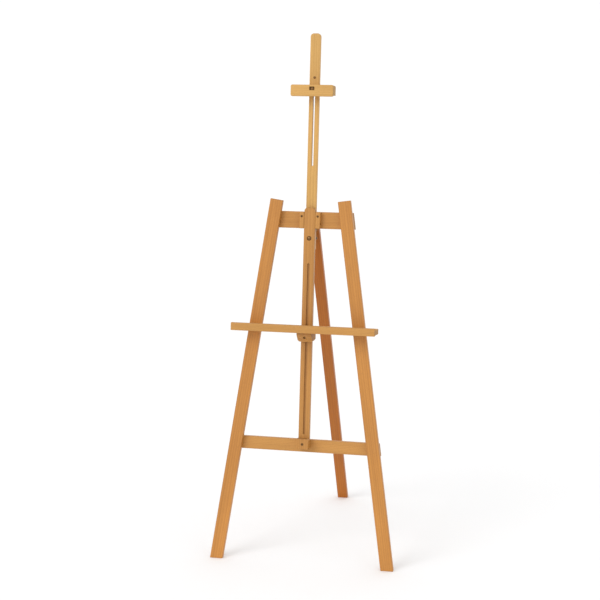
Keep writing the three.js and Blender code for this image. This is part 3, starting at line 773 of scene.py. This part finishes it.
class EASEL_OT_cross_members(bpy.types.Operator):
    """Builds the cross brace and the notched head rail"""

    bl_idname = "easel.cross_members"
    bl_label = "Cross brace and head rail"

    def execute(self, context):
        brace = solid("cross_brace_timber", plank("cross_brace"))
        cut(brace, *screw_holes(*numbered("brace_screw", 4)))
        place(brace, "cross_brace", wood_of("cross_brace", ACROSS))
        rail = solid("head_rail_timber", plank("head_rail"))
        low, high = extents("head_rail")
        stem_low, stem_high = extents("mast_extension")
        notch = box_tool(
            (stem_low[0] - SLIP, low[1] - PAST, low[2] - PAST),
            (stem_high[0] + SLIP, high[1] + PAST, stem_high[2] + SLIP),
        )
        cut(rail, notch, *screw_holes(*numbered("head_screw", 4)))
        place(rail, "head_rail", wood_of("head_rail", ACROSS))
        return {"FINISHED"}


def slot_surface(half, low, high, near, far):
    """A long hole with round ends, to cut from one depth to another."""
    corners = [(-half, low), (half, low), (half, high), (-half, high)]
    outline, bend = rounded(corners, half * 0.999, 8)
    return board((outline, bend), near, far, FRONT_VIEW, SHARP, 1)


def rises(node, reach, near=-1.0, far=1.0):
    """Heights of the corners of a node that lie close to its centre plane, between two depths."""
    seen = points_of(node) @ FRONT_VIEW.T
    kept = (abs(seen[:, 0]) < reach) & (seen[:, 2] > near) & (seen[:, 2] < far)
    return np.sort(seen[kept, 1])


class EASEL_OT_lower_mast(bpy.types.Operator):
    """Builds the fixed lower mast with its groove, cheeks, foot block and cross dowel"""

    bl_idname = "easel.lower_mast"
    bl_label = "Lower mast"

    def execute(self, context):
        settings = timber()
        low, high = extents("lower_mast")
        mast = solid(
            "lower_mast_timber",
            board(panel(low, high, settings.edge, settings.crown), low[2], high[2], FRONT_VIEW),
        )
        depth = settings.groove_depth
        heights = rises("lower_mast", 5 * MM, low[2] + depth - MM, low[2] + depth + MM)
        half = extents("tray_key")[1][0] + SLIP
        groove = slot_surface(half, heights[0], heights[-1], low[2] - PAST, low[2] + depth)
        start, axis, head, _ = spindle("lock_bolt")
        seat = bore(start, axis, head + 0.3 * MM, 3.8 * MM)
        cut(mast, groove, seat)
        place(mast, "lower_mast", wood_of("lower_mast", UP))
        for node, screws in (
            ("mast_foot_block", ["foot_block_screw"]),
            ("mast_cheek_left", ["cheek_screw_1"]),
            ("mast_cheek_right", ["cheek_screw_2"]),
        ):
            low, high = extents(node)
            shape = panel(low, high, settings.edge, settings.edge)
            piece = solid(f"{node}_timber", board(shape, low[2], high[2], FRONT_VIEW))
            cut(piece, *screw_holes(*screws))
            place(piece, node, wood_of(node, UP))
        low, high = extents("mast_cross_dowel")
        radius, soft = (high[1] - low[1]) / 2, 0.6 * MM
        start = np.array([low[0], (low[1] + high[1]) / 2, (low[2] + high[2]) / 2]) @ FRONT_VIEW
        span = high[0] - low[0]
        rod = [(0, 0), (radius - soft, 0), (radius, soft)]
        rod += [(radius, span - soft), (radius - soft, span), (0, span)]
        place(
            solid("mast_cross_dowel_timber", turned(rod, start, ACROSS)),
            "mast_cross_dowel",
            wood_of("mast_cross_dowel", ACROSS),
        )
        return {"FINISHED"}


def rear_axes():
    """The rear leg's own axes: out of its back face, up its length, and across."""
    flat = points_of("rear_leg")[:, 1:]
    turn = stick_turn(flat, -0.8, 0.0)
    face = np.array([0, math.cos(turn), -math.sin(turn)])
    along = np.array([0, math.sin(turn), math.cos(turn)])
    return np.array([face, along, ACROSS])


class EASEL_OT_rear_leg(bpy.types.Operator):
    """Builds the folding rear leg, its heel sawn to bear on the head rail"""

    bl_idname = "easel.rear_leg"
    bl_label = "Rear leg"

    def execute(self, context):
        axes = rear_axes()
        low, high = extents("rear_leg", axes)
        corners = hull(points_of("rear_leg") @ axes[:2].T)
        surface = board(rounded(corners, timber().edge), low[2], high[2], axes)
        fit("rear_leg", "timber", surface, wood_of("rear_leg", axes[1]))
        return {"FINISHED"}


# ---- mast extension and top clamp --------------------------------


class EASEL_OT_extension(bpy.types.Operator):
    """Builds the sliding mast extension with its two slots"""

    bl_idname = "easel.extension"
    bl_label = "Mast extension"

    def execute(self, context):
        settings = timber()
        low, high = extents("mast_extension")
        shape = panel(low, high, settings.edge, settings.crown)
        stem = solid("mast_extension_timber", board(shape, low[2], high[2], FRONT_VIEW))
        half = 3.6 * MM
        heights = rises("mast_extension", half + 0.2 * MM)
        heights = heights[heights < extents("extension_stop_screw")[0][1] - MM]
        # The widest steps between heights are one slot, the wood between, and the other slot.
        wood_between = np.sort(np.diff(heights).argsort()[-3:])[1]
        ends = [(heights[0], heights[wood_between]), (heights[wood_between + 1], heights[-1])]
        tools = [slot_surface(half, a, b, low[2] - PAST, high[2] + PAST) for a, b in ends]
        cut(stem, *tools)
        place(stem, "mast_extension", wood_of("mast_extension", UP))
        return {"FINISHED"}


REBATE_DEPTH, REBATE_HEIGHT = 14 * MM, 5 * MM


class EASEL_OT_top_clamp(bpy.types.Operator):
    """Builds the top clamp block with its channel, rebate and sunk bolt seat"""

    bl_idname = "easel.top_clamp"
    bl_label = "Top clamp"

    def execute(self, context):
        settings = timber()
        low, high = extents("clamp_block")
        stem_low, stem_high = extents("mast_extension")
        shape = panel(low, high, settings.corner, settings.corner)
        block = solid("clamp_block_timber", board(shape, low[2], high[2], FRONT_VIEW, 2.2 * MM, 5))
        channel = box_tool(
            (stem_low[0] - SLIP, low[1] - PAST, stem_low[2] - SLIP),
            (stem_high[0] + SLIP, high[1] + PAST, high[2] + PAST),
        )
        rebate = box_tool(
            (low[0] - PAST, low[1] - PAST, low[2] + REBATE_DEPTH),
            (high[0] + PAST, low[1] + REBATE_HEIGHT, high[2] + PAST),
        )
        plate_low, plate_high = extents("clamp_front_washer")
        room = 0.7 * MM
        shape = panel(plate_low - room, plate_high + room, 2.5 * MM, 2.5 * MM)
        floor = plate_high[2] + 0.3 * MM
        pocket = board(shape, low[2] - PAST, floor, FRONT_VIEW, SHARP, 1)
        cut(block, channel, rebate, pocket)
        place(block, "clamp_block", wood_of("clamp_block", ACROSS))
        return {"FINISHED"}


# ---- tray --------------------------------------------------------


def shelf_shape(low, high):
    """The shelf from the side: a rectangle with a half-round trough sunk in its top."""
    settings = timber()
    edge, radius = settings.edge, settings.trough_radius
    centre = low[0] + settings.trough_place
    corners = [(low[0], low[1]), (high[0], low[1]), (high[0], high[1]), (low[0], high[1])]
    outline, bend = rounded(corners, edge)
    steps = len(outline) // 4
    turn = np.linspace(0, -math.pi, 17)
    trough = np.stack([centre + radius * np.cos(turn), high[1] + radius * np.sin(turn)], 1)
    after = 3 * steps
    return (
        np.vstack([outline[:after], trough, outline[after:]]),
        np.concatenate([bend[:after], np.zeros(len(trough)), bend[after:]]),
    )


class EASEL_OT_tray(bpy.types.Operator):
    """Builds the tray: shelf with a brush trough, and front lip"""

    bl_idname = "easel.tray"
    bl_label = "Tray"

    def execute(self, context):
        settings = timber()
        low, high = extents("tray_board", SIDE_VIEW)
        surface = board(shelf_shape(low, high), low[2], high[2], SIDE_VIEW)
        shelf = solid("tray_board_timber", surface)
        cut(shelf, *screw_holes(*numbered("tray_screw", 2)))
        place(shelf, "tray_board", wood_of("tray_board", ACROSS))
        low, high = extents("tray_lip", SIDE_VIEW)
        shape = panel(low, high, settings.edge, settings.lip_radius)
        lip = solid("tray_lip_timber", board(shape, low[2], high[2], SIDE_VIEW))
        place(lip, "tray_lip", wood_of("tray_lip", ACROSS))
        return {"FINISHED"}


class EASEL_OT_tray_bracket(bpy.types.Operator):
    """Builds the bracket that carries the tray on the mast, and its keeper"""

    bl_idname = "easel.tray_bracket"
    bl_label = "Tray bracket"

    def execute(self, context):
        edge = timber().edge
        low, high = extents("tray_bracket", SIDE_VIEW)
        corners = hull(points_of("tray_bracket") @ SIDE_VIEW[:2].T)
        surface = board(rounded(corners, edge), low[2], high[2], SIDE_VIEW)
        block = solid("tray_bracket_timber", surface)
        mast_low, mast_high = extents("lower_mast")
        round_ = 10 * MM
        tools = [
            box_tool(
                (mast_low[0] - SLIP, low[1] - PAST, mast_low[2] - SLIP),
                (mast_high[0] + SLIP, high[1] + PAST, high[0] + PAST),
            )
        ]
        turn = np.linspace(-QUARTER, 0, 13)
        for side in (-1, 1):
            inner = high[2] - round_
            arc = np.stack([inner + round_ * np.cos(turn), low[1] + round_ * (1 + np.sin(turn))], 1)
            far = high[2] + PAST
            out = [(far, low[1] + round_), (far, low[1] - PAST), (inner, low[1] - PAST)]
            outline = np.vstack([arc, out]) * (side, 1)
            outline = outline[::-1] if side > 0 else outline
            shape = (outline, np.zeros(len(outline)))
            tools.append(board(shape, low[0] - PAST, high[0] + PAST, FRONT_VIEW, SHARP, 1))
        start, axis, _, _ = spindle("tray_key_screw")
        tools.append(bore(start, axis, 5 * MM, 0.3 * MM, 30 * MM))
        cut(block, *tools)
        place(block, "tray_bracket", wood_of("tray_bracket", ACROSS))
        low, high = extents("tray_keeper")
        shape = panel(low, high, 4 * MM, 4 * MM)
        keeper = solid("tray_keeper_timber", board(shape, low[2], high[2], FRONT_VIEW))
        start, radius, span = rear_facing("tray_clamping_screw")
        thread = bore(start, BACK, radius + 0.3 * MM, span)
        cut(keeper, thread, *screw_holes(*numbered("keeper_screw", 2)))
        place(keeper, "tray_keeper", wood_of("tray_keeper", ACROSS))
        return {"FINISHED"}


# ---- screws, bolts, hinge and knobs ------------------------------


def screw_surface(node, turn):
    """A countersunk screw with a cross recess.

    Its face is a disc of rings, sunk where a point lies in either arm of the cross: the depth
    falls smoothly over the arm's half width and over its length. The head then narrows as a cone
    to the shank, which ends in a point.
    """
    start, axis, head, span = spindle(node)
    shank = head * 0.47
    rings = np.linspace(0, 0.94, 15) * head
    side = [(head, 0.06 * head), (head, 0.1 * head + 0.1 * MM), (shank, head - shank + 0.3 * MM)]
    tail = [(shank, span - 2.4 * shank), (0, span)]
    profile = [(r, 0) for r in rings] + side + tail
    points, faces, wear = turned(profile, start, axis, count=48, phase=turn)
    offset = points - start
    depth = offset @ axis
    u = Vector(axis).orthogonal().normalized()
    v = Vector(axis).cross(u)
    u, v = np.array(u), np.array(v)
    p = np.cos(turn) * (offset @ u) + np.sin(turn) * (offset @ v)
    q = -np.sin(turn) * (offset @ u) + np.cos(turn) * (offset @ v)

    def arm(a, b):
        wide = np.clip((0.17 * head - abs(a)) / (0.1 * head) + 0.5, 0, 1)
        far = np.clip((0.58 * head - abs(b)) / (0.12 * head) + 0.5, 0, 1)
        return wide * far

    on_face = (abs(depth) < 1e-7) & (np.hypot(p, q) < 0.95 * head)
    sink = np.where(on_face, np.maximum(arm(p, q), arm(q, p)) * 0.42 * head, 0)
    return points + sink[:, None] * axis, faces, wear


def stop_screw_surface():
    """A round-headed screw: its head is a quarter of an ellipse turned about the screw's axis."""
    low, high = extents("extension_stop_screw")
    face = extents("mast_extension")[0][2]
    radius, rise, shank = (high[0] - low[0]) / 2, face - low[2] - 0.1 * MM, 2 * MM
    turn = np.linspace(0, QUARTER, 9)
    dome = [(radius * math.sin(t), rise * (1 - math.cos(t))) for t in turn]
    profile = dome + [(shank, rise), (shank, 5 * shank), (0, high[2] - low[2])]
    start = np.array([0, (low[1] + high[1]) / 2, low[2]]) @ FRONT_VIEW
    return turned(profile, start, BACK)


SCREWS = {"brace_screw": 4, "head_screw": 4, "cheek_screw": 2, "keeper_screw": 2, "tray_screw": 2}


class EASEL_OT_screws(bpy.types.Operator):
    """Builds the countersunk wood screws and the stop screw of the extension"""

    bl_idname = "easel.screws"
    bl_label = "Screws"

    def execute(self, context):
        plating = steel()
        names = [node for name, count in SCREWS.items() for node in numbered(name, count)]
        names += ["foot_block_screw", "tray_key_screw"]
        for i, node in enumerate(names):
            fit(node, "steel", screw_surface(node, 0.7 * i), plating)
        fit("extension_stop_screw", "steel", stop_screw_surface(), plating)
        return {"FINISHED"}


def hexagon(around, row):
    """Share of the corner radius of a hexagon at an angle, for the rows of a bolt's head."""
    flat = np.cos(math.pi / 6) / np.cos((around % (math.pi / 3)) - math.pi / 6)
    return np.where((row > 0) & (row < 5), flat, 1.0)


def washer_surface(node):
    """A flat ring: a small rounded rectangle carried round the bolt's axis."""
    low, high = extents(node)
    centre = (low + high) / 2
    radius, soft = (high[0] - low[0]) / 2, 0.25 * MM
    outline, _ = panel((3.3 * MM, 0), (radius, high[2] - low[2]), soft, soft)
    start = np.array([centre[0], centre[1], low[2]]) @ FRONT_VIEW
    return turned(outline, start, BACK, count=64, closed=True)


class EASEL_OT_bolts(bpy.types.Operator):
    """Builds the bolts, the clamping screw and the washers"""

    bl_idname = "easel.bolts"
    bl_label = "Bolts and washers"

    def execute(self, context):
        plating = steel()
        start, head, span = rear_facing("lock_bolt")
        turn = np.linspace(0, QUARTER, 9)
        shank, rise, high, soft = 3 * MM, 3.5 * MM, 4 * MM, 0.6 * MM
        dome = [(head * math.sin(t), rise * (1 - math.cos(t))) for t in turn]
        end = [(shank, rise), (shank, span - soft), (shank - soft, span), (0, span)]
        fit("lock_bolt", "steel", turned(dome + end, start, BACK), plating)
        start, _, span = rear_facing("clamp_bolt")
        head = spindle("clamp_bolt")[2]
        rows = [(0, 0), (head * 0.86, 0), (head * 0.9, 0.1 * MM), (head, 0.7 * MM), (head, high)]
        rows += [(shank, high), (shank, span - soft), (shank - soft, span), (0, span)]
        surface = turned(rows, start, BACK, lambda a, r: hexagon(a, r - 1), 72)
        fit("clamp_bolt", "steel", surface, plating)
        start, radius, span = rear_facing("tray_clamping_screw")
        rod = [(0, 0), (radius - MM, 0), (radius, MM), (radius, span), (0, span)]
        surface = turned(rod, start, BACK)
        fit("tray_clamping_screw", "steel", surface, plating)
        for node in ("lock_washer", "clamp_rear_washer"):
            fit(node, "steel", washer_surface(node), plating)
        low, high = extents("clamp_front_washer")
        shape = panel(low, high, 2.2 * MM, 2.2 * MM)
        plate = board(shape, low[2], high[2], FRONT_VIEW, 0.25 * MM)
        fit("clamp_front_washer", "steel", plate, plating)
        return {"FINISHED"}


KNOB_BORES = {"lock_knob": 3.3 * MM, "clamp_knob": 3.3 * MM, "tray_knob": 4.3 * MM}


def knob_surface(node, bolt):
    """A lobed hand knob on a round hub.

    The profile runs from the bottom of the bore, down the hub, out under the grip, round its rim
    and over its crowned top to a sunk centre. Rows on the grip swell and narrow with the cosine of
    the number of lobes times the angle, and the rest stay round. The axis is the knob's own joint,
    because the box round an odd number of lobes isn't centred on it.
    """
    settings = fittings()
    low, high = extents(node)
    centre = FRONT_VIEW @ np.array(JOINTS[f"{node}_turn"]["pos_m"], float)
    start = np.array([centre[0], centre[1], low[2]]) @ FRONT_VIEW
    tall, thick, grip, hub = high[2] - low[2], settings.grip_thick, settings.grip, settings.hub
    under, soft = tall - thick, 2.6 * MM
    bolt_high = extents(bolt)[1]
    bore_radius = KNOB_BORES[node]
    depth = min(bolt_high[2] - low[2] + 0.6 * MM, tall - 2 * MM)
    turn = np.linspace(-QUARTER, 0, 6)
    rim_low = [(grip - soft + soft * math.cos(t), under + soft + soft * math.sin(t)) for t in turn]
    rim_high = [(r, tall + under - h) for r, h in rim_low[::-1]]
    profile = [(0, depth), (bore_radius, depth), (bore_radius, 0)]
    profile += [(hub - 0.6 * MM, 0), (hub, 0.6 * MM)]
    profile += [(hub, under - 0.8 * MM), (hub + 0.8 * MM, under)]
    first = len(profile)
    profile += rim_low + rim_high
    last = len(profile)
    profile += [(hub, tall), (hub - 0.7 * MM, tall - 0.8 * MM), (0, tall - 0.8 * MM)]

    def lobed(around, row):
        share = np.where((row >= first) & (row < last), settings.lobe / grip, 0.0)
        return 1 + share * np.cos(settings.lobes * around)

    return turned(profile, start, BACK, lobed, 100)


class EASEL_OT_knobs(bpy.types.Operator):
    """Builds the three lobed hand knobs"""

    bl_idname = "easel.knobs"
    bl_label = "Hand knobs"

    def execute(self, context):
        plastic = moulded("knob_moulding")
        bolts = ("lock_bolt", "clamp_bolt", "tray_clamping_screw")
        for node, bolt in zip(KNOB_BORES, bolts):
            fit(node, "plastic", knob_surface(node, bolt), plastic)
        return {"FINISHED"}


def build_leaf(node, screws, axes, pin, side, knuckles):
    """One hinge leaf: a drilled plate that hangs below the pin, and round knuckles on the pin.

    Each knuckle is a tube carried round the pin, joined to the plate by a strip as wide as itself.
    """
    low, high = extents(node, axes)
    centre = pin @ axes.T
    radius, thick, soft = high[1] - centre[1], 1.8 * MM, 0.3 * MM
    outer = centre[2] + side * radius
    near, far = sorted((outer, outer - side * thick))
    shape = panel((low[0], low[1]), (high[0], centre[1] - radius - 0.3 * MM), 2.5 * MM, 0.3 * MM)
    leaf = solid(f"{node}_brass", board(shape, near, far, axes, 0.25 * MM, 3))
    cut(leaf, *screw_holes(*numbered(screws, 2)))
    for start, end in knuckles:
        top = centre[1] - 1.9 * MM
        strip = panel((start, centre[1] - radius - MM), (end, top), 0.1 * MM, 0.1 * MM)
        attach(leaf, board(strip, near, far, axes, 0.05 * MM, 1))
        span = end - start
        tube = [(radius - soft, 0), (radius, soft), (radius, span - soft), (radius - soft, span)]
        tube += [(1.8 * MM, span), (1.8 * MM, 0)]
        origin = np.array([start, centre[1], centre[2]]) @ axes
        attach(leaf, turned(tube, origin, ACROSS, closed=True))
    place(leaf, node, brass())


class EASEL_OT_hinge(bpy.types.Operator):
    """Builds the hinge of the rear leg: two leaves, pin and screws"""

    bl_idname = "easel.hinge"
    bl_label = "Hinge"

    def execute(self, context):
        plating = brass()
        pin = np.array(JOINTS["rear_leg_fold"]["pos_m"], float)
        half = extents("hinge_leaf_rail")[1][0]
        inner = 7.5 * MM
        outer_knuckles = [(-half, -inner), (inner, half)]
        build_leaf("hinge_leaf_rail", "hinge_rail_screw", FRONT_VIEW, pin, -1, outer_knuckles)
        face, along, across = rear_axes()
        axes = np.array([across, along, face])
        gap = 0.3 * MM
        build_leaf("hinge_leaf_leg", "hinge_leg_screw", axes, pin, 1, [(gap - inner, inner - gap)])
        low, high = extents("hinge_pin")
        radius, span = (high[1] - low[1]) / 2, high[0] - low[0]
        rod = [(0, 0), (radius * 0.6, 0.1 * MM), (radius, 0.6 * MM), (radius, span - 0.6 * MM)]
        rod += [(radius * 0.6, span - 0.1 * MM), (0, span)]
        start = pin + ACROSS * low[0]
        fit("hinge_pin", "brass", turned(rod, start, ACROSS), plating)
        names = numbered("hinge_rail_screw", 2) + numbered("hinge_leg_screw", 2)
        for i, node in enumerate(names):
            fit(node, "brass", screw_surface(node, 0.5 * i), plating)
        return {"FINISHED"}


class EASEL_OT_hidden_parts(bpy.types.Operator):
    """Finishes the CAD parts that stay as they are: the tray's key and the dowels of its lip"""

    bl_idname = "easel.hidden_parts"
    bl_label = "Key and dowels"

    def execute(self, context):
        runs = {"tray_key": UP, **{node: BACK for node in numbered("lip_dowel", 3)}}
        for node, run in runs.items():
            mesh = frame["nodes"][node].data
            mesh.materials.clear()
            mesh.materials.append(wood_of(node, run, "tray_key"))
        return {"FINISHED"}


# ---- stage -------------------------------------------------------


def sky_lamp(name, at, aim, strength, spread):
    """A large far softbox that lights from one place towards a point, spread in degrees."""
    data = bpy.data.lights.new(name, "SUN")
    data.energy, data.angle = strength, math.radians(spread)
    made = bpy.data.objects.new(name, data)
    made.location = at
    made.rotation_euler = (Vector(aim) - Vector(at)).to_track_quat("-Z", "Y").to_euler()
    bpy.context.scene.collection.objects.link(made)


class EASEL_OT_stage(bpy.types.Operator):
    """Sets the pale floor, the soft studio lights and the camera"""

    bl_idname = "easel.stage"
    bl_label = "Stage"

    def execute(self, context):
        scene = context.scene
        settings = scene.easel_stage
        reach, side = 1000.0, 24
        ring = np.linspace(0, 2 * math.pi, side, endpoint=False)
        disc = np.stack([reach * np.cos(ring), reach * np.sin(ring), np.zeros(side)], 1)
        mesh = bpy.data.meshes.new("floor")
        mesh.from_pydata(disc.tolist(), [], [list(range(side))])
        floor = bpy.data.objects.new("floor", mesh)
        scene.collection.objects.link(floor)
        nodes = Nodes("studio_floor")
        position = nodes.add("TexCoord").outputs["Object"]
        cloud = nodes.noise(position, 1.5, 2.0)
        base = tuple(settings.floor)
        shade = nodes.mix(nodes.sum("MULTIPLY", cloud, 0.4), base, tuple(c * 0.985 for c in base))
        shader = {"Base Color": shade, "Roughness": 0.85}
        mesh.materials.append(nodes.finish(shader, cloud, 0.05, 0.1 * MM))
        floor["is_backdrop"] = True

        world = bpy.data.worlds.new("studio")
        world.use_nodes = True
        background = world.node_tree.nodes["Background"]
        background.inputs["Color"].default_value = (1, 1, 1, 1)
        background.inputs["Strength"].default_value = 1.0
        scene.world = world
        middle_height = (0, 0, 0.95)
        sky_lamp("key", (-2.0, -3.0, 3.4), middle_height, 0.95, 34)
        sky_lamp("fill", (3.0, -1.4, 2.4), middle_height, 0.1, 50)

        low, high = (np.array(corner) for corner in CAD_BOX)
        aim = Vector((settings.aim_side, (low[1] + high[1]) / 2, settings.aim_height))
        a, e = settings.azimuth, settings.elevation
        way = Vector((math.sin(a) * math.cos(e), -math.cos(a) * math.cos(e), math.sin(e)))
        data = bpy.data.cameras.new("camera")
        data.lens = settings.lens
        data.clip_end = 3000
        camera = bpy.data.objects.new("camera", data)
        camera.location = aim + way * settings.distance
        camera.rotation_euler = (-way).to_track_quat("-Z", "Y").to_euler()
        scene.collection.objects.link(camera)
        scene.camera = camera
        scene.view_settings.view_transform = "Standard"
        return {"FINISHED"}


# ---- the add-on --------------------------------------------------

OPERATORS = (
    EASEL_OT_front_legs,
    EASEL_OT_cross_members,
    EASEL_OT_lower_mast,
    EASEL_OT_rear_leg,
    EASEL_OT_extension,
    EASEL_OT_top_clamp,
    EASEL_OT_tray,
    EASEL_OT_tray_bracket,
    EASEL_OT_screws,
    EASEL_OT_bolts,
    EASEL_OT_knobs,
    EASEL_OT_hinge,
    EASEL_OT_hidden_parts,
    EASEL_OT_stage,
)


class EASEL_PT_panel(bpy.types.Panel):
    """The easel's sizes and colours, and a button for each group of pieces"""

    bl_idname = "EASEL_PT_panel"
    bl_label = "Artist easel"
    bl_space_type = "VIEW_3D"
    bl_region_type = "UI"
    bl_category = "Easel"

    def draw(self, context):
        scene = context.scene
        for group in (scene.easel_timber, scene.easel_fittings, scene.easel_stage):
            box = self.layout.box()
            for name in group.__annotations__:
                box.prop(group, name)
        for operator in OPERATORS:
            self.layout.operator(operator.bl_idname)


CLASSES = (EaselTimber, EaselFittings, EaselStage, *OPERATORS, EASEL_PT_panel)


def register():
    """Adds the classes and the scene's settings."""
    for cls in CLASSES:
        bpy.utils.register_class(cls)
    bpy.types.Scene.easel_timber = bpy.props.PointerProperty(type=EaselTimber)
    bpy.types.Scene.easel_fittings = bpy.props.PointerProperty(type=EaselFittings)
    bpy.types.Scene.easel_stage = bpy.props.PointerProperty(type=EaselStage)


def unregister():
    """Removes what register added."""
    del bpy.types.Scene.easel_stage
    del bpy.types.Scene.easel_fittings
    del bpy.types.Scene.easel_timber
    for cls in reversed(CLASSES):
        bpy.utils.unregister_class(cls)


def main():
    """Registers the add-on, builds every group in order and works out the box round the finished pieces."""
    register()
    for operator in OPERATORS:
        group, name = operator.bl_idname.split(".")
        getattr(getattr(bpy.ops, group), name)()
    shown = [list(corner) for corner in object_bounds()]


if __name__ == "__main__":
    main()
